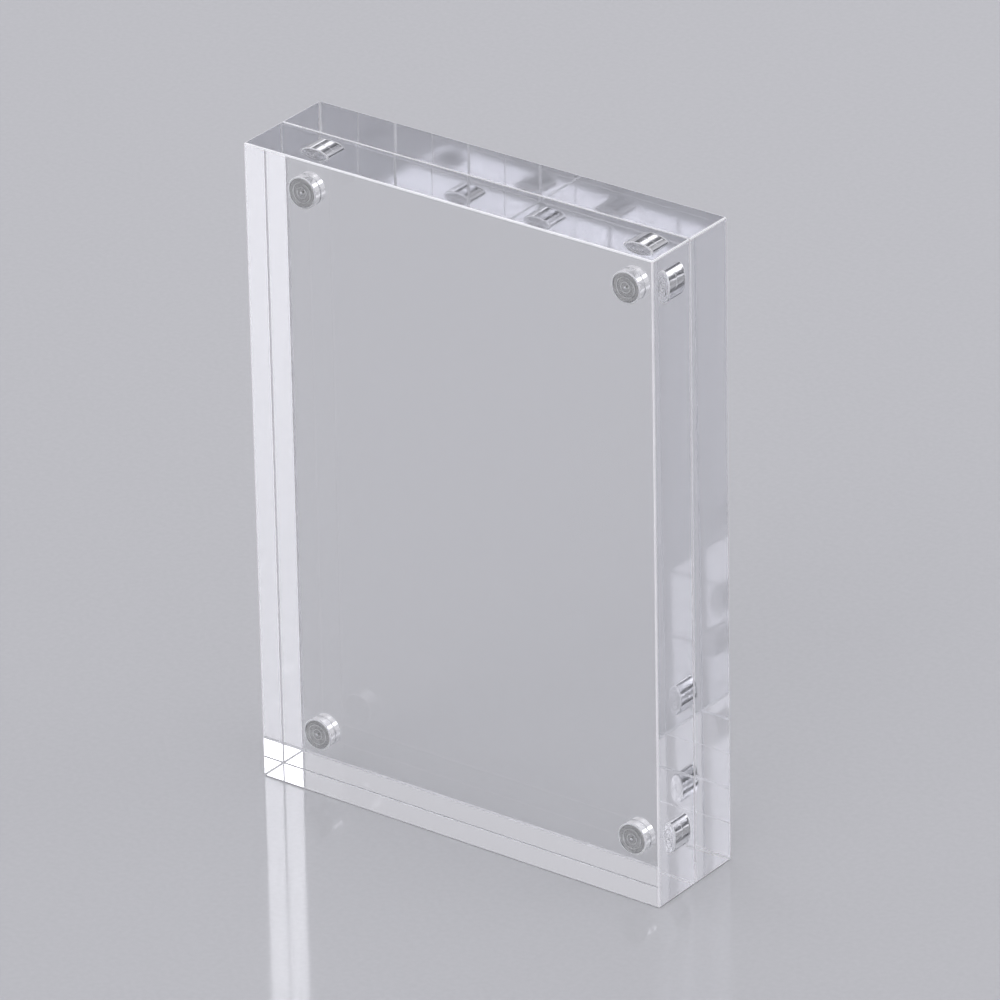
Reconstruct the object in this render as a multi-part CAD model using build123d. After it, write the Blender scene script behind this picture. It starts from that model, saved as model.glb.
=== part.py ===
from build123d import *
import os

# Acrylic block frame: two clear slabs held face to face by disc magnets near their corners.
# Millimetres, +Z up. The origin is the middle of the closed frame's footprint, on the surface it stands on.
# +X is the viewer's right. The front block lies on the -Y side of the print slot, and the rear block on the +Y side.

# Blocks
frame_width = 89.0
frame_height = 127.0
block_thickness = 11.0
# flat broken along a block's edges, and the finer one along the edges of its mating face
edge_break = 0.3
mating_edge_break = 0.1

# Magnets, the same in both blocks
magnet_diameter = 6.0
magnet_thickness = 2.5
magnet_edge_radius = 0.2
# from a block's side, top or bottom to the middle of the nearest magnet
magnet_inset = 9.2

# Fits
# slot for the print, held open by the magnets, which stand half of it proud of each mating face
print_slot = 0.3
# between a magnet's side and the wall of its pocket
pocket_clearance = 0.1
# adhesive between a pocket's floor and its magnet, drawn in from the magnet's rim
glue_thickness = 0.2
glue_inset = 0.3
# cone that the cutter's point leaves in the middle of a pocket's floor
cutter_mark_diameter = 0.9
cutter_mark_depth = 0.3

# Places that follow from the sizes above, for the rear half, measured along +Y from the middle of the slot
mating_face = print_slot / 2
magnet_back = magnet_thickness
pocket_floor = magnet_back + glue_thickness
pocket_depth = pocket_floor - mating_face
pocket_radius = magnet_diameter / 2 + pocket_clearance
glue_radius = magnet_diameter / 2 - glue_inset

half_width = frame_width / 2
corners = {
    "top_left": (-half_width + magnet_inset, frame_height - magnet_inset),
    "top_right": (half_width - magnet_inset, frame_height - magnet_inset),
    "bottom_left": (-half_width + magnet_inset, magnet_inset),
    "bottom_right": (half_width - magnet_inset, magnet_inset),
}


def into_depth(x, y, z):
    """Place whose own +Z runs along the frame's +Y, from the point given."""
    return Pos(x, y, z) * Rot(X=-90)


def disc(radius, thickness):
    """Plain round disc that stands on its place and rises along it."""
    return Cylinder(radius, thickness, align=(Align.CENTER, Align.CENTER, Align.MIN))


def pocket_cut(x, z):
    """Space milled out for one magnet: a round pocket with the cutter's mark in its floor."""
    hole = into_depth(x, mating_face, z) * disc(pocket_radius, pocket_depth)
    mark = into_depth(x, pocket_floor, z) * Cone(
        cutter_mark_diameter / 2,
        0,
        cutter_mark_depth,
        align=(Align.CENTER, Align.CENTER, Align.MIN),
    )
    return hole + mark


def mating_edges(slab):
    """Edges of a slab's mating face, which is its lowest face along Y."""
    return slab.faces().sort_by(Axis.Y)[0].edges()


def block():
    """Rear block: a slab with broken edges and a magnet pocket near each corner of its mating face."""
    slab = Pos(0, mating_face, 0) * Box(
        frame_width,
        block_thickness,
        frame_height,
        align=(Align.CENTER, Align.MIN, Align.MIN),
    )
    slab = chamfer(slab.edges() - mating_edges(slab), edge_break)
    slab = chamfer(mating_edges(slab), mating_edge_break)
    for x, z in corners.values():
        slab -= pocket_cut(x, z)
    return slab


def magnet(x, z):
    """Disc magnet of the rear block, with rounded rims. Its face lies at the middle of the slot."""
    body = into_depth(x, 0, z) * disc(magnet_diameter / 2, magnet_thickness)
    rims = body.edges().filter_by(GeomType.CIRCLE)
    return fillet(rims, magnet_edge_radius)


def glue(x, z):
    """Cured adhesive pad of the rear block, between a magnet's back and the floor of its pocket."""
    return into_depth(x, magnet_back, z) * disc(glue_radius, glue_thickness)


def both_halves(name, shape):
    """The rear piece and its mirror image in the front half, by node name."""
    return {"rear_" + name: shape, "front_" + name: mirror(shape, about=Plane.XZ)}


nodes = both_halves("block", block())
for corner, (x, z) in corners.items():
    nodes |= both_halves("magnet_" + corner, magnet(x, z))
    nodes |= both_halves("glue_" + corner, glue(x, z))

os.makedirs("parts", exist_ok=True)
for name, shape in nodes.items():
    export_step(shape, f"parts/{name}.step")
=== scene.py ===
# %% [markdown]
# # A clear acrylic block frame
# The frame is two polished acrylic slabs, held face to face by disc magnets sunk near their corners. A
# print goes into the thin slot between them. The solids already have the right sizes and places, so this
# lesson gives them their surfaces: clear faces, planed sides, scraped edges, milled pockets, plated
# magnets, glue.

# %% Load the frame
import math

import bmesh
import bpy
import numpy as np
from mathutils import Matrix, Vector


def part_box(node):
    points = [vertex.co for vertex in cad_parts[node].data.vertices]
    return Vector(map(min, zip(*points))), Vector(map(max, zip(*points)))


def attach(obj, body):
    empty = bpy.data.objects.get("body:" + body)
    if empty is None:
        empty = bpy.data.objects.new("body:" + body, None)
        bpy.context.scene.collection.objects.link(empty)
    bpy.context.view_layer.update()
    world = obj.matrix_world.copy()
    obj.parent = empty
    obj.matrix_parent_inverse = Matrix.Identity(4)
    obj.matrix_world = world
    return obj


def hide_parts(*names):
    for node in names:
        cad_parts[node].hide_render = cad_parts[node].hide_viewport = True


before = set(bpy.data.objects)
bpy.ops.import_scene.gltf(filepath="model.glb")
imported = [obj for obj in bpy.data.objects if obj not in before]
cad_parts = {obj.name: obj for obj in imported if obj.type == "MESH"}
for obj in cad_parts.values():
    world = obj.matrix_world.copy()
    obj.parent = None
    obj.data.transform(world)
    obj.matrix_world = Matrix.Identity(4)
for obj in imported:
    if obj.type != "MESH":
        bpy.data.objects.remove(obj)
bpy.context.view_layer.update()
print("nodes in the frame:", len(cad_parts))

# %% [markdown]
# Sizes could be typed in again here, but two copies soon disagree. So each one is read from the solids,
# and the surfaces follow if a solid changes. Depths are measured the same way in both halves: from the
# middle of the print slot, into the block.

# %% Sizes of the frame, in metres
MM = 0.001
HALVES = {"rear": 1, "front": -1}
CORNERS = {
    "top_left": (-1, 1),
    "top_right": (1, 1),
    "bottom_left": (-1, -1),
    "bottom_right": (1, -1),
}

block_low, block_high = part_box("rear_block")
magnet_low, magnet_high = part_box("rear_magnet_top_right")
glue_low, glue_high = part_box("rear_glue_top_right")

half_width = block_high.x
half_height = block_high.z / 2
mating_face = block_low.y
outer_face = block_high.y
magnet_radius = (magnet_high.x - magnet_low.x) / 2
magnet_x = (magnet_high.x + magnet_low.x) / 2
magnet_z = (magnet_high.z + magnet_low.z) / 2 - half_height
magnet_back = magnet_high.y
glue_radius = (glue_high.x - glue_low.x) / 2
pocket_floor = glue_high.y
block_size = (2 * half_width, outer_face - mating_face, 2 * half_height)
print("block, mm:", [round(side / MM, 2) for side in block_size])

# %% [markdown]
# ## Camera
# The camera comes first, because every later choice is judged through it. It stands far off with a long
# lens, to the right of the frame and above it. A camera could be turned towards an empty with a
# constraint. Its matrix is just its right, up and backward directions and its place, so here it is
# written down directly.

# %% Camera
AZIMUTH = math.radians(36.814)
ELEVATION = math.radians(26.355)
ROLL = math.radians(-1.1)
CAMERA_DISTANCE = 1623.7 * MM
CAMERA_TARGET = Vector((2.44 * MM, 0, 64.9 * MM))
FOCAL_PIXELS = 9107.7
PICTURE_PIXELS = 1000
SENSOR_WIDTH = 36


def camera_matrix(azimuth, elevation, roll, target, distance):
    """Right and up are turned about the viewing direction by roll. The eye backs off from the target."""
    flat = math.cos(elevation)
    back = Vector((math.sin(azimuth) * flat, -math.cos(azimuth) * flat, math.sin(elevation)))
    right = Vector((math.cos(azimuth), math.sin(azimuth), 0))
    up = back.cross(right)
    turned_right = math.cos(roll) * right + math.sin(roll) * up
    turned_up = math.cos(roll) * up - math.sin(roll) * right
    turned = Matrix((turned_right, turned_up, back)).transposed()
    return Matrix.Translation(target + back * distance) @ turned.to_4x4()


camera_data = bpy.data.cameras.new("camera")
camera_data.sensor_width = SENSOR_WIDTH
camera_data.lens = FOCAL_PIXELS / PICTURE_PIXELS * SENSOR_WIDTH
camera = bpy.data.objects.new("camera", camera_data)
camera.matrix_world = camera_matrix(AZIMUTH, ELEVATION, ROLL, CAMERA_TARGET, CAMERA_DISTANCE)
bpy.context.collection.objects.link(camera)
bpy.context.scene.camera = camera
print("lens, mm:", round(camera_data.lens, 1))

# %% [markdown]
# ## From points to pieces
# A surface worked out with numpy is a grid of points, so the first tool lists the quads that such a grid
# has. A piece is then a few such patches. They are welded where their edges meet, turned to face
# outwards, shaded smooth, and kept crisp where one finish meets another. Each patch carries the name of
# its finish.

# %% From patches of points to a piece
WELD = 0.001 * MM
FINISHES = ("polished", "side_cut", "pocket", "frosted")


def quads(rows, columns):
    """Corner numbers of the quads of a grid whose last column joins its first. A point's number is its
    row times columns, plus its column."""
    row, column = np.meshgrid(np.arange(rows - 1), np.arange(columns), indexing="ij")
    after = (column + 1) % columns
    near = row * columns
    far = near + columns
    return np.stack([near + column, near + after, far + after, far + column], axis=-1)


def weld(mesh):
    """Joins points that share a place and turns the faces outwards."""
    shape = bmesh.new()
    shape.from_mesh(mesh)
    bmesh.ops.remove_doubles(shape, verts=shape.verts, dist=WELD)
    bmesh.ops.recalc_face_normals(shape, faces=shape.faces)
    shape.to_mesh(mesh)
    shape.free()


def crease_between_finishes(mesh, finish):
    """Marks an edge sharp where the lowest and the highest finish number of its faces differ."""
    edge = np.empty(len(mesh.loops), np.int32)
    mesh.loops.foreach_get("edge_index", edge)
    corner_count = np.empty(len(mesh.polygons), np.int32)
    mesh.polygons.foreach_get("loop_total", corner_count)
    corner_finish = np.repeat(finish, corner_count)
    lowest = np.full(len(mesh.edges), len(FINISHES))
    highest = np.zeros(len(mesh.edges), int)
    np.minimum.at(lowest, edge, corner_finish)
    np.maximum.at(highest, edge, corner_finish)
    mesh.edges.foreach_set("use_edge_sharp", lowest != highest)


def make_piece(node, body, patches):
    """The piece that stands for a node. A patch is (points, faces, finish). The finish number rides
    through the weld as a material number, then becomes a mask for each cut finish, and a second material
    for frost."""
    mesh = bpy.data.meshes.new(node)
    starts = np.cumsum([0] + [len(points) for points, _, _ in patches])
    faces = [face for (_, own, _), start in zip(patches, starts) for face in (own + start).tolist()]
    mesh.from_pydata(np.concatenate([points for points, _, _ in patches]).tolist(), [], faces)
    finish = [np.full(len(own), FINISHES.index(name), np.int32) for _, own, name in patches]
    mesh.polygons.foreach_set("material_index", np.concatenate(finish))
    weld(mesh)
    finish = np.empty(len(mesh.polygons), np.int32)
    mesh.polygons.foreach_get("material_index", finish)
    frosted = finish == FINISHES.index("frosted")
    mesh.polygons.foreach_set("material_index", frosted.astype(np.int32))
    mesh.polygons.foreach_set("use_smooth", np.ones(len(finish), bool))
    crease_between_finishes(mesh, finish)
    for name in ("side_cut", "pocket"):
        mask = mesh.attributes.new(name, "FLOAT", "FACE")
        mask.data.foreach_set("value", (finish == FINISHES.index(name)).astype(np.float32))
    mesh.update()
    piece = bpy.data.objects.new(node + "_surface", mesh)
    bpy.context.collection.objects.link(piece)
    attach(piece, body)
    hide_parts(node)
    return piece


print("finishes:", ", ".join(FINISHES))

# %% [markdown]
# ## The blocks
# Each slab has a flat outer face, four planed sides with rounded edges, and a mating face with four round
# pockets and finer edges, so that the seam between the slabs is a thin line. A boolean cut would leave
# long thin triangles round the holes, which show in clear plastic as ripples. So the mating face is laid
# out: each quarter is a fan of quads from its pocket's rim to its edges.

# %% Layout of one quarter of the mating face
EDGE_BREAK = 0.3 * MM
MATING_BREAK = 0.1 * MM
POCKET_CLEARANCE = 0.1 * MM
ROUND_STEPS = 144

pocket_radius = magnet_radius + POCKET_CLEARANCE
reach_x = half_width - EDGE_BREAK
reach_z = half_height - EDGE_BREAK


def quarter_angles():
    """Directions from the pocket's middle: evenly spread, with the quarter's four corners among them,
    starting from the corner on the block's right at half height. An even direction too near a corner's is
    left out."""
    corner_x = np.array([reach_x, reach_x, 0, 0])
    corner_z = np.array([0, reach_z, reach_z, 0])
    to_corners = np.arctan2(corner_z - magnet_z, corner_x - magnet_x)
    even, step = np.linspace(-np.pi, np.pi, ROUND_STEPS, endpoint=False, retstep=True)
    gap = np.abs(even[:, None] - to_corners[None]).min(axis=1)
    spread = np.concatenate([even[gap > step / 4], to_corners])
    return np.sort((spread - to_corners[0]) % (2 * np.pi)) + to_corners[0]


def quarter_edge(directions):
    """Where each direction leaves the quarter: at the nearer of an upright line and a level line."""
    across, up = np.cos(directions), np.sin(directions)
    with np.errstate(divide="ignore"):
        to_upright = np.where(across > 0, reach_x - magnet_x, -magnet_x) / across
        to_level = np.where(up > 0, reach_z - magnet_z, -magnet_z) / up
    to_upright[to_upright <= 0] = np.inf
    to_level[to_level <= 0] = np.inf
    far = np.minimum(to_upright, to_level)
    return magnet_x + far * across, magnet_z + far * up


angles = quarter_angles()
edge_x, edge_z = quarter_edge(angles)
print("directions round a pocket:", len(angles))

# %% [markdown]
# The outer shell is one profile carried round the slab's outline. The profile starts on the mating face,
# rolls over a finely rounded edge, runs back along the side, and rolls over a larger one to the outer
# face. A Bevel modifier could round a plain box. Here the outline repeats the quarter's own edge points,
# so that the shell and the mating face share every point where they meet.

# %% The outer shell
RIM_ROWS = 1
BREAK_STEPS = 5
CORNER_STEPS = 6


def outline():
    """Points (x, z) of the slab's outline, drawn in by the edge break, with the outward direction at
    each. A corner is one point repeated while its direction turns through a right angle. One quarter is
    mirrored."""
    right = np.flatnonzero(np.isclose(edge_x, reach_x))
    top = np.flatnonzero(np.isclose(edge_z, reach_z))
    turn = np.linspace(0, np.pi / 2, CORNER_STEPS + 1)[1:-1]
    x = np.concatenate([edge_x[right], np.full(len(turn), reach_x), edge_x[top]])
    z = np.concatenate([edge_z[right], np.full(len(turn), reach_z), edge_z[top]])
    direction = np.concatenate([np.zeros(len(right)), turn, np.full(len(top), np.pi / 2)])
    quarter = np.stack([x, z, np.cos(direction), np.sin(direction)])
    left = quarter[:, -2::-1] * np.array([-1, 1, -1, 1])[:, None]
    upper = np.concatenate([quarter, left], axis=1)
    lower = upper[:, -2:0:-1] * np.array([1, -1, 1, -1])[:, None]
    return np.concatenate([upper, lower], axis=1)


def edge_profile():
    """How far the shell stands out from the drawn-in outline, and how deep: a flat rim of the mating
    face, a small quarter circle, the straight side and a larger quarter circle."""
    turn = np.linspace(0, np.pi / 2, BREAK_STEPS + 1)
    mating_out = EDGE_BREAK - MATING_BREAK * (1 - np.sin(turn))
    mating_deep = mating_face + MATING_BREAK * (1 - np.cos(turn))
    outer_out = EDGE_BREAK * np.cos(turn)
    outer_deep = outer_face - EDGE_BREAK * (1 - np.sin(turn))
    out = np.concatenate([[0], mating_out, outer_out])
    return out, np.concatenate([[mating_face], mating_deep, outer_deep])


def outer_shell():
    """Point = outline point plus the profile's standout along the outward direction, at the profile's
    depth. The rows of the rim lie on the mating face. A quad of the straight run is a planed side where
    the direction is the same at both its ends."""
    x, z, out_x, out_z = outline()
    out, deep = edge_profile()
    grid_x = x[None] + out[:, None] * out_x[None]
    grid_z = z[None] + out[:, None] * out_z[None]
    grid_y = np.broadcast_to(deep[:, None], grid_x.shape)
    points = np.stack([grid_x, grid_y, grid_z], axis=-1).reshape(-1, 3)
    rows, columns = grid_x.shape
    faces = quads(rows, columns)
    planed = np.zeros((rows - 1, columns), bool)
    onward = np.isclose(np.roll(out_x, -1), out_x) & np.isclose(np.roll(out_z, -1), out_z)
    planed[RIM_ROWS + BREAK_STEPS] = onward
    frosted = ~planed
    frosted[:RIM_ROWS] = False
    apart = np.flatnonzero(np.hypot(x - np.roll(x, 1), z - np.roll(z, 1)) > WELD)
    outer = ((rows - 1) * columns + apart)[None]
    return [
        (points, faces[planed], "side_cut"),
        (points, faces[frosted], "frosted"),
        (points, faces[~planed & ~frosted], "polished"),
        (points, outer, "polished"),
    ]


shell = outer_shell()
print("faces of the shell:", {finish: len(faces) for _, faces, finish in shell})

# %% [markdown]
# A pocket is turned: one profile spun about the magnet's axis. The milling cutter leaves a rounded foot
# at the wall, a ridge at each step it moves over, a fine ripple and a conical dimple under its point.
# The ridges are only hundredths of a millimetre high. A bump map could fake them, but clear plastic bends
# the light at each slope, so they are real relief. The cutter's end frosts the foot, the very crests of
# the ridges and the tip of the dimple.

# %% The pockets
FOOT_RADIUS = 0.3 * MM
FOOT_STEPS = 6
MARK_RADIUS = 0.45 * MM
MARK_DEPTH = 0.3 * MM
MARK_STEPS = 4
FLOOR_ROWS = 100
STEP_OVER = 0.9 * MM
RIDGE_HEIGHT = 0.03 * MM
RIDGE_WIDTH = 0.1 * MM
CREST = 0.88
RIPPLE_HEIGHT = 0.006 * MM
RIPPLE_PITCH = 0.3 * MM

foot_end = pocket_radius - FOOT_RADIUS


def tool_marks(radius):
    """Height of the floor's marks, and where the ridges' crests are. A ridge is a bell curve of the
    distance to the nearest whole step-over from the foot. The ripple is a sine that fades out at the foot
    and the dimple."""
    steps = (foot_end - radius) / STEP_OVER
    to_ridge = np.abs(steps - np.maximum(np.round(steps), 1)) * STEP_OVER
    ridge = np.exp(-((to_ridge / RIDGE_WIDTH) ** 2))
    to_end = np.minimum(foot_end - radius, radius - MARK_RADIUS)
    ripple = np.sin(2 * np.pi * radius / RIPPLE_PITCH) * np.clip(to_end / RIPPLE_PITCH, 0, 1)
    return RIDGE_HEIGHT * ridge + RIPPLE_HEIGHT * ripple, ridge > CREST


def pocket_profile():
    """Radius and depth from the mouth to the middle, and which of the rows between them are frosted: a
    straight wall, a quarter-circle foot, the marked floor and a straight cone."""
    turn = np.linspace(0, np.pi / 2, FOOT_STEPS + 1)
    foot = foot_end + FOOT_RADIUS * np.cos(turn)
    foot_deep = pocket_floor - FOOT_RADIUS * (1 - np.sin(turn))
    floor = np.linspace(foot_end, MARK_RADIUS, FLOOR_ROWS + 1)[1:]
    height, crest = tool_marks(floor)
    dimple = np.linspace(MARK_RADIUS, 0, MARK_STEPS + 1)[1:]
    dimple_deep = pocket_floor + MARK_DEPTH * (1 - dimple / MARK_RADIUS)
    radius = np.concatenate([[pocket_radius], foot, floor, dimple])
    deep = np.concatenate([[mating_face], foot_deep, pocket_floor - height, dimple_deep])
    tip = dimple < MARK_RADIUS / 2
    frosted = np.concatenate([[False], np.full(FOOT_STEPS, True), crest, tip])
    return radius, deep, frosted


def spun(radius, deep, turn):
    """Point = (radius cos turn, depth, radius sin turn), with a row for each point of the profile."""
    x = radius[:, None] * np.cos(turn)[None]
    z = radius[:, None] * np.sin(turn)[None]
    return np.stack([x, np.broadcast_to(deep[:, None], x.shape), z], axis=-1)


def mating_quarter():
    """The fan of quads between the pocket's rim and the quarter's edge, and the pocket itself."""
    middle = np.array([magnet_x, 0, magnet_z])
    radius, deep, frosted = pocket_profile()
    pocket = spun(radius, deep, angles) + middle
    edge = np.stack([edge_x, np.full(len(angles), mating_face), edge_z], axis=-1)
    fan = np.concatenate([pocket[0], edge])
    pocket = pocket.reshape(-1, 3)
    faces = quads(len(radius), len(angles))
    return [
        (fan, quads(2, len(angles)).reshape(-1, 4), "polished"),
        (pocket, faces[~frosted].reshape(-1, 4), "pocket"),
        (pocket, faces[frosted].reshape(-1, 4), "frosted"),
    ]


quarter = mating_quarter()
print("faces of a quarter:", {finish: len(faces) for _, faces, finish in quarter})

# %% [markdown]
# A slab is the shell and four mirrored copies of the quarter, and the front slab is the rear one mirrored
# in the slot. A Mirror modifier could do this. Mirroring the points themselves is one multiplication by
# plus or minus one for each axis, and the weld turns the faces outwards again.

# %% The two slabs


def into_frame(patches, flip_x, flip_y, flip_z):
    """Mirrors patches into their quarter and half, and lifts them from the block's middle to its place."""
    flip = np.array([flip_x, flip_y, flip_z])
    return [(points * flip + [0, 0, half_height], faces, finish) for points, faces, finish in patches]


def make_block(half):
    """One slab: the shell, and a quarter of the mating face for each corner."""
    patches = into_frame(shell, 1, HALVES[half], 1)
    for flip_x, flip_z in CORNERS.values():
        patches += into_frame(quarter, flip_x, HALVES[half], flip_z)
    return make_piece(half + "_block", half, patches)


blocks = [make_block(half) for half in HALVES]
for block in blocks:
    print(block.name, "faces:", len(block.data.polygons))

# %% [markdown]
# ## Magnets and glue
# A plated magnet is a spun disc whose rims are rounded by tumbling. The glue under it is a drop that was
# squeezed flat, so its outline wanders a little and its side bulges. A hair's breadth of air is left
# between surfaces that touch on the real frame: two clear surfaces in one place would confuse the light
# that passes through them.

# %% Magnets and glue pads
HAIR = 0.02 * MM
MAGNET_RIM = 0.2 * MM
RIM_STEPS = 6
FACE_STEPS = 5
GLUE_WANDER = 0.035

glue_low_face = magnet_back + HAIR
glue_high_face = pocket_floor - RIDGE_HEIGHT - RIPPLE_HEIGHT - HAIR
glue_rim = (glue_high_face - glue_low_face) / 2


def disc_profile(radius, low, high, rim):
    """Radius and depth from the middle of one face to the middle of the other, round two rims that are
    quarter circles."""
    turn = np.linspace(0, np.pi / 2, RIM_STEPS + 1)
    face = np.linspace(0, radius - rim, FACE_STEPS)[:-1]
    out = radius - rim * (1 - np.sin(turn))
    deep = rim * (1 - np.cos(turn))
    near = np.concatenate([np.full(len(face), low), low + deep])
    far = np.concatenate([high - deep[::-1], np.full(len(face), high)])
    return np.concatenate([face, out, out[::-1], face[::-1]]), np.concatenate([near, far])


def make_disc(node, half, corner, profile, wander=0.0, phase=0.0):
    """A spun disc, its radius swelling and shrinking by the share wander, in two and in three waves round
    it."""
    turn = np.linspace(0, 2 * np.pi, ROUND_STEPS, endpoint=False)
    points = spun(*profile, turn)
    swell = 1 + wander / 2 * (np.sin(2 * turn + phase) + np.sin(3 * turn - 2 * phase))
    points[..., 0] *= swell
    points[..., 1] *= HALVES[half]
    points[..., 2] *= swell
    flip_x, flip_z = CORNERS[corner]
    points += [flip_x * magnet_x, 0, half_height + flip_z * magnet_z]
    faces = quads(*points.shape[:2]).reshape(-1, 4)
    return make_piece(node, half, [(points.reshape(-1, 3), faces, "polished")])


magnet_profile = disc_profile(magnet_radius, 0, magnet_back, MAGNET_RIM)
glue_profile = disc_profile(glue_radius, glue_low_face, glue_high_face, glue_rim)
magnets, pads = [], []
for half in HALVES:
    for corner in CORNERS:
        magnets.append(make_disc(f"{half}_magnet_{corner}", half, corner, magnet_profile))
        pads.append(make_disc(f"{half}_glue_{corner}", half, corner, glue_profile, GLUE_WANDER, len(pads)))
print("magnets:", len(magnets), "glue pads:", len(pads))

# %% [markdown]
# ## Finishes
# Node trees are quicker to read when the wiring is short, so a few helpers each add a node with its
# values and links in one line. They could be drawn by hand in the shader editor just as well. Most values
# of a noise lie in the middle of its range, so its usual spread is named here too.

# %% Node helpers
NOISE_SPREAD = (0.3, 0.7)


def add(tree, kind, inputs=None, **settings):
    """A new node. An input is a value for that socket, or another node's output to link to it."""
    node = tree.nodes.new(kind)
    for name, value in settings.items():
        setattr(node, name, value)
    for name, value in (inputs or {}).items():
        if isinstance(value, bpy.types.NodeSocket):
            tree.links.new(value, node.inputs[name])
        else:
            node.inputs[name].default_value = value
    return node


def maths(tree, operation, first, second, clamp=False):
    """The result of a Math node."""
    node = add(tree, "ShaderNodeMath", {0: first, 1: second}, operation=operation, use_clamp=clamp)
    return node.outputs[0]


def weighted(tree, shares):
    """The sum of each mask times its weight, for (mask, weight) pairs."""
    total = 0.0
    for mask, weight in shares:
        node = add(tree, "ShaderNodeMath", {0: mask, 1: weight, 2: total}, operation="MULTIPLY_ADD")
        total = node.outputs[0]
    return total


def between(tree, value, low, high, to_low=0.0, to_high=1.0):
    """The value, carried from the range low to high into another range and held inside it."""
    inputs = {"Value": value, "From Min": low, "From Max": high, "To Min": to_low, "To Max": to_high}
    return add(tree, "ShaderNodeMapRange", inputs).outputs["Result"]


def shaded(tree, share, low, high):
    """A colour that goes from low to high as share goes from 0 to 1."""
    ramp = add(tree, "ShaderNodeValToRGB", {"Fac": share})
    ramp.color_ramp.elements[0].color = (*low, 1)
    ramp.color_ramp.elements[1].color = (*high, 1)
    return ramp.outputs["Color"]


def noise(tree, place, waves, detail=2.0):
    """A noise value at a place, with so many waves to the metre along X, Y and Z."""
    mapped = add(tree, "ShaderNodeMapping", {"Vector": place, "Scale": waves})
    inputs = {"Vector": mapped.outputs[0], "Scale": 1.0, "Detail": detail}
    return add(tree, "ShaderNodeTexNoise", inputs).outputs["Fac"]


def relief(tree, height, distance, normal=None):
    """Normal of a surface that rises by distance where height is 1, laid over another normal if given."""
    inputs = {"Height": height, "Distance": distance}
    if normal is not None:
        inputs["Normal"] = normal
    return add(tree, "ShaderNodeBump", inputs).outputs[0]


print("helpers ready")

# %% [markdown]
# Two effects are shared by the plastic and the metal, so each is a node group, placed with its own
# values. A hairline scratch is a noise stretched far along one direction, with only its narrow peaks
# kept. Three of them at different turns cross each other, as wiping marks do. Haze is a broad soft noise
# broken by a finer one.

# %% Shared effects
SCRATCH_TURNS = (0.35, 1.25, 2.2)
SCRATCH_EDGE = 25.0
HAZE_SPREAD = (0.48, 0.72)
HAZE_FINER = 22.0
HAZE_LEAST = 0.5


def new_group(name, labels):
    """An empty node group that takes a Place and labelled values, and puts out a Mask."""
    tree = bpy.data.node_groups.new(name, "ShaderNodeTree")
    tree.interface.new_socket("Place", in_out="INPUT", socket_type="NodeSocketVector")
    for label in labels:
        tree.interface.new_socket(label, in_out="INPUT", socket_type="NodeSocketFloat")
    tree.interface.new_socket("Mask", in_out="OUTPUT", socket_type="NodeSocketFloat")
    return tree, tree.nodes.new("NodeGroupInput").outputs


def put_out(tree, mask):
    """Ends a group with its mask."""
    add(tree, "NodeGroupOutput", {"Mask": mask})
    return tree


def hairline_scratches():
    """Mask of thin lines in three directions, on faces that lie across Y."""
    tree, given = new_group("hairline_scratches", ["Fineness", "Length", "Rarity"])
    inputs = {0: given["Length"], 1: given["Length"], 2: given["Fineness"]}
    waves = add(tree, "ShaderNodeCombineXYZ", inputs)
    lines = 0.0
    for turn in SCRATCH_TURNS:
        turned = add(tree, "ShaderNodeMapping", {"Vector": given["Place"], "Rotation": (0, turn, 0)})
        inputs = {0: turned.outputs[0], 1: waves.outputs[0]}
        stretched = add(tree, "ShaderNodeVectorMath", inputs, operation="MULTIPLY").outputs[0]
        grain = add(tree, "ShaderNodeTexNoise", {"Vector": stretched, "Scale": 1.0, "Detail": 1.0})
        peak = maths(tree, "SUBTRACT", grain.outputs["Fac"], given["Rarity"])
        lines = maths(tree, "MAXIMUM", lines, maths(tree, "MULTIPLY", peak, SCRATCH_EDGE, clamp=True))
    return put_out(tree, lines)


def handling_haze():
    """Mask of soft patches: a broad noise times a finer one that never falls to nothing."""
    tree, given = new_group("handling_haze", ["Patch Size"])
    waves = maths(tree, "DIVIDE", 1.0, given["Patch Size"])
    finer = maths(tree, "MULTIPLY", waves, HAZE_FINER)
    broad = add(tree, "ShaderNodeTexNoise", {"Vector": given["Place"], "Scale": waves, "Detail": 3.0})
    fine = add(tree, "ShaderNodeTexNoise", {"Vector": given["Place"], "Scale": finer})
    patches = between(tree, broad.outputs["Fac"], *HAZE_SPREAD)
    specks = between(tree, fine.outputs["Fac"], *NOISE_SPREAD, HAZE_LEAST)
    return put_out(tree, maths(tree, "MULTIPLY", patches, specks))


shared = {"scratches": hairline_scratches(), "haze": handling_haze()}


def effect(tree, name, place, inputs):
    """The mask of a shared effect, placed in a material with its own values."""
    return add(tree, "ShaderNodeGroup", {"Place": place, **inputs}, node_tree=shared[name]).outputs["Mask"]


print("shared effects:", [group.name for group in shared.values()])

# %% [markdown]
# ### Clear acrylic
# Acrylic bends light a little less than window glass and is nearly colourless. A long way through it
# looks cool and slightly grey, so the body has a faint absorption. The broad faces have only haze and
# hairlines, the sides keep the fine lines of the cutter that planed them, and the pockets are milled.
# Three glass materials could do that, but a clear body has one inside, so one material does it, steered
# by the masks on the mesh. Shadow rays pass straight through and lose a little at each surface, so the
# shadow is pale and free of grain.

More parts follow.
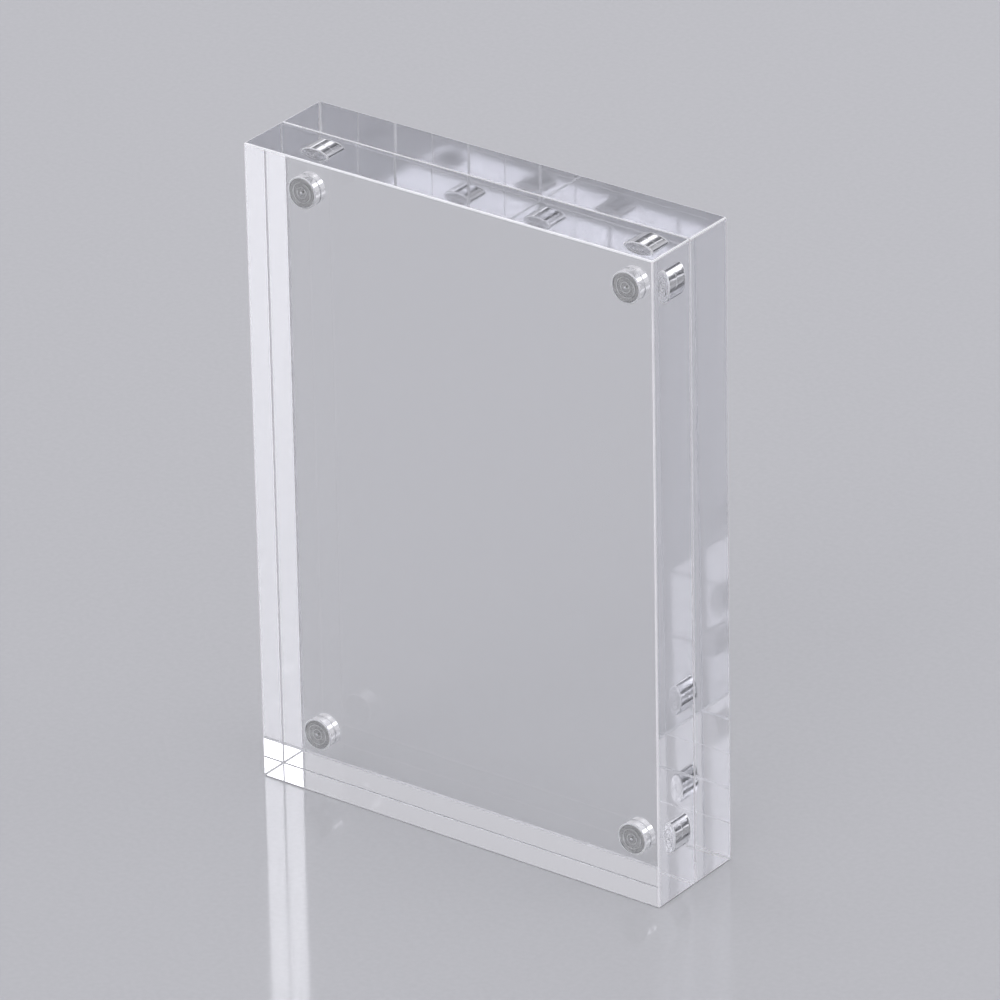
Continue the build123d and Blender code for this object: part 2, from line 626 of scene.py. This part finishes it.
# %% Clear acrylic
ACRYLIC_IOR = 1.49
BODY_TINT = (0.54, 0.55, 0.64, 1)
BODY_DENSITY = 3.0
LAMP_TINT = (0.955, 0.96, 0.963, 1)
ACRYLIC_SCRATCHES = {"Fineness": 2500.0, "Length": 45.0, "Rarity": 0.7}
ACRYLIC_HAZE = {"Patch Size": 30 * MM}
HAZE_ROUGH = 0.015
SCRATCH_ROUGH = 0.06
SIDE_ROUGH = 0.03
POCKET_ROUGH = 0.1
WAVY_WAVES = (35, 35, 35)
WAVY_HEIGHT = 0.002 * MM
PLANED_WAVES = (25, 6000, 25)
PLANED_HEIGHT = 0.0006 * MM


def new_material(name):
    """A new material: itself, its node tree, the sockets of its output, and Object coordinates."""
    material = bpy.data.materials.new(name)
    material.use_nodes = True
    tree = material.node_tree
    tree.nodes.clear()
    place = add(tree, "ShaderNodeTexCoord").outputs["Object"]
    return material, tree, tree.nodes.new("ShaderNodeOutputMaterial").inputs, place


def clear_acrylic():
    """Glass with a faint body colour, roughened by the masks, that lets lamp light straight through."""
    material, tree, out, place = new_material("clear_acrylic")
    side = add(tree, "ShaderNodeAttribute", attribute_name="side_cut").outputs["Fac"]
    pocket = add(tree, "ShaderNodeAttribute", attribute_name="pocket").outputs["Fac"]
    scratches = effect(tree, "scratches", place, ACRYLIC_SCRATCHES)
    haze = effect(tree, "haze", place, ACRYLIC_HAZE)
    shares = [(haze, HAZE_ROUGH), (scratches, SCRATCH_ROUGH), (side, SIDE_ROUGH), (pocket, POCKET_ROUGH)]
    planed = maths(tree, "MULTIPLY", noise(tree, place, PLANED_WAVES, detail=4.0), side)
    normal = relief(tree, noise(tree, place, WAVY_WAVES, detail=1.0), WAVY_HEIGHT)
    glass = add(
        tree,
        "ShaderNodeBsdfPrincipled",
        {
            "Base Color": (1, 1, 1, 1),
            "Roughness": weighted(tree, shares),
            "IOR": ACRYLIC_IOR,
            "Transmission Weight": 1.0,
            "Normal": relief(tree, planed, PLANED_HEIGHT, normal),
        },
    )
    straight = add(tree, "ShaderNodeBsdfTransparent", {"Color": LAMP_TINT})
    path = add(tree, "ShaderNodeLightPath")
    shaders = {0: path.outputs["Is Shadow Ray"], 1: glass.outputs[0], 2: straight.outputs[0]}
    body = add(tree, "ShaderNodeVolumeAbsorption", {"Color": BODY_TINT, "Density": BODY_DENSITY})
    tree.links.new(add(tree, "ShaderNodeMixShader", shaders).outputs[0], out["Surface"])
    tree.links.new(body.outputs[0], out["Volume"])
    return material


def dress(pieces, material):
    """Adds a finish to pieces."""
    for piece in pieces:
        piece.data.materials.append(material)
    print(material.name, "on", len(pieces), "pieces,", len(material.node_tree.nodes), "nodes")


dress(blocks, clear_acrylic())

# %% [markdown]
# ### Frosted acrylic
# Where a scraper broke the edges and the cutter's end rubbed in the pockets, the plastic is full of tiny
# cracks that scatter light, so it looks matt and white. Very rough glass would be the truer model, but it
# traps light and turns grey and grainy. The frosted strips are at most half a millimetre wide, so an
# opaque matt white stands for it.

# %% Frosted acrylic
FROST_PALE = (0.96, 0.96, 0.965)
FROST_DULL = (0.84, 0.845, 0.855)
FROST_ROUGH = (0.35, 0.6)
STROKE_WAVES = (260, 260, 260)
STROKE_SPREAD = (0.35, 0.7)
CRACK_WAVES = (9000, 9000, 9000)
CRACK_LEAST = 0.3
CRACK_HEIGHT = 0.01 * MM


def frosted_acrylic():
    """Matt white, duller in broad strokes and in fine specks, with the specks raised."""
    material, tree, out, place = new_material("frosted_acrylic")
    strokes = between(tree, noise(tree, place, STROKE_WAVES, detail=4.0), *STROKE_SPREAD)
    cracks = noise(tree, place, CRACK_WAVES)
    dull = maths(tree, "MULTIPLY", strokes, between(tree, cracks, *NOISE_SPREAD, CRACK_LEAST))
    surface = add(
        tree,
        "ShaderNodeBsdfPrincipled",
        {
            "Base Color": shaded(tree, dull, FROST_PALE, FROST_DULL),
            "Roughness": between(tree, cracks, *NOISE_SPREAD, *FROST_ROUGH),
            "IOR": ACRYLIC_IOR,
            "Normal": relief(tree, cracks, CRACK_HEIGHT),
        },
    )
    tree.links.new(surface.outputs[0], out["Surface"])
    return material


dress(blocks, frosted_acrylic())

# %% [markdown]
# ### Nickel plate
# Bright nickel is a pale grey metal. One mirror-like grey all over would look like chrome. Tumbling
# leaves the plate a little uneven, so a fine noise lifts its surface, and haze and hairlines dull it and
# spread its gloss.

# %% Nickel plate
NICKEL = (0.66, 0.663, 0.67)
NICKEL_WORN = (0.49, 0.49, 0.495)
NICKEL_ROUGH = (0.12, 0.36)
NICKEL_HAZE = {"Patch Size": 3 * MM}
NICKEL_SCRATCHES = {"Fineness": 9000.0, "Length": 250.0, "Rarity": 0.66}
HAZE_WEAR = 0.55
SCRATCH_WEAR = 0.45
PEEL_WAVES = (3500, 3500, 3500)
PEEL_HEIGHT = 0.004 * MM


def nickel_plate():
    """Metal, darker and rougher where it is hazed or scratched."""
    material, tree, out, place = new_material("nickel_plate")
    scratches = effect(tree, "scratches", place, NICKEL_SCRATCHES)
    haze = effect(tree, "haze", place, NICKEL_HAZE)
    wear = weighted(tree, [(haze, HAZE_WEAR), (scratches, SCRATCH_WEAR)])
    metal = add(
        tree,
        "ShaderNodeBsdfPrincipled",
        {
            "Base Color": shaded(tree, wear, NICKEL, NICKEL_WORN),
            "Metallic": 1.0,
            "Roughness": between(tree, wear, 0.0, 1.0, *NICKEL_ROUGH),
            "Normal": relief(tree, noise(tree, place, PEEL_WAVES), PEEL_HEIGHT),
        },
    )
    tree.links.new(metal.outputs[0], out["Surface"])
    return material


dress(magnets, nickel_plate())

# %% [markdown]
# ### Cured glue
# The glue is clear and faintly yellow, with small bubbles trapped when the magnet was pressed in. Each
# bubble could be a sphere, but they are about as fine as a hair, so they are the middles of the cells of
# a Voronoi pattern, raised a little.

# %% Cured glue
GLUE_CLEAR = (0.98, 0.98, 0.96)
GLUE_BUBBLE = (0.99, 0.99, 0.985)
GLUE_IOR = 1.5
GLUE_ROUGH = (0.08, 0.25)
BUBBLE_WAVES = 2200
BUBBLE_EDGE = (0.12, 0.2)
BUBBLE_HEIGHT = 0.02 * MM
CLOUD_WAVES = (700, 700, 700)
CLOUD_SPREAD = (0.5, 0.8)


def cured_glue():
    """Slightly cloudy glass with raised round bubbles."""
    material, tree, out, place = new_material("cured_glue")
    cells = add(tree, "ShaderNodeTexVoronoi", {"Vector": place, "Scale": BUBBLE_WAVES})
    bubble = between(tree, cells.outputs["Distance"], *BUBBLE_EDGE, 1.0, 0.0)
    cloud = noise(tree, place, CLOUD_WAVES, detail=3.0)
    pale = maths(tree, "MAXIMUM", bubble, between(tree, cloud, *CLOUD_SPREAD))
    resin = add(
        tree,
        "ShaderNodeBsdfPrincipled",
        {
            "Base Color": shaded(tree, pale, GLUE_CLEAR, GLUE_BUBBLE),
            "Roughness": between(tree, cloud, *NOISE_SPREAD, *GLUE_ROUGH),
            "IOR": GLUE_IOR,
            "Transmission Weight": 1.0,
            "Normal": relief(tree, bubble, BUBBLE_HEIGHT),
        },
    )
    tree.links.new(resin.outputs[0], out["Surface"])
    return material


dress(pads, cured_glue())

# %% [markdown]
# ## Studio
# Clear plastic shows little of itself: what we see is the room, bent and mirrored. So the room is part of
# the look. The floor is pale and glossy, like a sheet of painted glass, and mirrors the frame's foot
# softly.

# %% Floor
FLOOR_HALF = 12.0
FLOOR_PALE = (0.51, 0.512, 0.52)
FLOOR_DULL = (0.49, 0.492, 0.5)
FLOOR_ROUGH = (0.06, 0.09)
FLOOR_WAVES = (900, 900, 900)
FLOOR_IOR = 1.7


def pale_floor():
    """Glossy pale paint with the faintest grain."""
    material, tree, out, place = new_material("pale_floor")
    grain = between(tree, noise(tree, place, FLOOR_WAVES), *NOISE_SPREAD)
    surface = add(
        tree,
        "ShaderNodeBsdfPrincipled",
        {
            "Base Color": shaded(tree, grain, FLOOR_DULL, FLOOR_PALE),
            "Roughness": between(tree, grain, 0.0, 1.0, *FLOOR_ROUGH),
            "IOR": FLOOR_IOR,
        },
    )
    tree.links.new(surface.outputs[0], out["Surface"])
    return material


floor_mesh = bpy.data.meshes.new("floor")
floor_points = FLOOR_HALF * np.array([[-1, -1, 0], [1, -1, 0], [1, 1, 0], [-1, 1, 0]]) - [0, 0, HAIR]
floor_mesh.from_pydata(floor_points.tolist(), [], [(0, 1, 2, 3)])
floor = bpy.data.objects.new("floor", floor_mesh)
bpy.context.collection.objects.link(floor)
dress([floor], pale_floor())

# %% [markdown]
# One large soft panel hangs over the frame, a little behind it and to its right, and gives it a faint
# soft shadow. A small lamp would leave sharp sparks in the plastic and a hard shadow.

# %% Soft panel
PANEL_DIRECTION = Vector((0.106, 0.29, 0.951))
PANEL_DISTANCE = 1.3
PANEL_SIDE = 1.2
PANEL_WATTS = 2

lamp = bpy.data.lights.new("panel", "AREA")
lamp.shape = "SQUARE"
lamp.size = PANEL_SIDE
lamp.energy = PANEL_WATTS
panel = bpy.data.objects.new("panel", lamp)
panel_place = PANEL_DISTANCE * PANEL_DIRECTION + Vector((0, 0, half_height))
facing = PANEL_DIRECTION.to_track_quat("Z", "Y").to_matrix().to_4x4()
panel.matrix_world = Matrix.Translation(panel_place) @ facing
bpy.context.collection.objects.link(panel)
print("panel, W:", lamp.energy)

# %% [markdown]
# The rest of the room glows by itself, more at the back, where the bottom band of the block looks. A
# softbox far behind on the right lies where the left band looks, by way of the floor, and turns it white.
# Wider ones at the front and the sides light the frosted edges and pocket rims, from outside and through
# the plastic. Lamps there would show their outlines in the floor, so all are smooth bright spots in the
# room's own light instead.

# %% Room light
HORIZON = (0.456, 0.4545, 0.4815)
ZENITH = (0.272, 0.271, 0.29)
HORIZON_TOP = 0.3
BACK_GLOW = 1.6
BACK_FULL = 0.8
SOFTBOXES = {
    "back_right": {"direction": (0.537, 0.717, 0.444), "edge": 9, "core": 3, "glow": 5.8},
    "front": {"direction": (0.0, -0.8, 0.6), "edge": 33, "core": 8, "glow": 5.5},
    "right": {"direction": (0.7, 0.0, 0.714), "edge": 42, "core": 22, "glow": 1.8},
    "left": {"direction": (-0.7, 0.0, 0.714), "edge": 42, "core": 22, "glow": 1.8},
}


def softbox(tree, towards, direction, edge, core, glow):
    """Extra strength near a direction: a smooth step of the cosine of the angle to it, from edge to core,
    both in degrees."""
    inputs = {0: towards, 1: direction}
    facing = add(tree, "ShaderNodeVectorMath", inputs, operation="DOT_PRODUCT").outputs["Value"]
    inputs = {
        "Value": facing,
        "From Min": math.cos(math.radians(edge)),
        "From Max": math.cos(math.radians(core)),
        "To Max": glow,
    }
    return add(tree, "ShaderNodeMapRange", inputs, interpolation_type="SMOOTHSTEP").outputs["Result"]


def room_light():
    """Colour from horizon to zenith. Strength rises towards the back and near each softbox."""
    world = bpy.data.worlds.new("room")
    world.use_nodes = True
    tree = world.node_tree
    tree.nodes.clear()
    towards = add(tree, "ShaderNodeTexCoord").outputs["Generated"]
    axes = add(tree, "ShaderNodeSeparateXYZ", {0: towards}).outputs
    colour = shaded(tree, between(tree, axes["Z"], HORIZON_TOP, 1.0), HORIZON, ZENITH)
    strength = between(tree, axes["Y"], 0.0, BACK_FULL, 1.0, BACK_GLOW)
    for values in SOFTBOXES.values():
        strength = maths(tree, "ADD", strength, softbox(tree, towards, **values))
    light = add(tree, "ShaderNodeBackground", {"Color": colour, "Strength": strength})
    add(tree, "ShaderNodeOutputWorld", {"Surface": light.outputs[0]})
    return world


bpy.context.scene.world = room_light()
print("room light:", len(bpy.context.scene.world.node_tree.nodes), "nodes")

# %% [markdown]
# Light inside a clear block is mirrored from wall to wall many times before it gets out. With Blender's
# usual limits such light would be cut off and turn black, so the limits are raised. Caustics stay on:
# without them the frosted pockets and the floor behind the block would lose the room light that reaches
# them through the plastic.

# %% Light paths and colour
LIGHT_PATHS = {
    "max_bounces": 40,
    "glossy_bounces": 32,
    "transmission_bounces": 40,
    "transparent_max_bounces": 24,
    "caustics_reflective": True,
    "caustics_refractive": True,
}

scene = bpy.context.scene
for limit, value in LIGHT_PATHS.items():
    setattr(scene.cycles, limit, value)
scene.view_settings.view_transform = "Standard"
print("light paths:", LIGHT_PATHS)
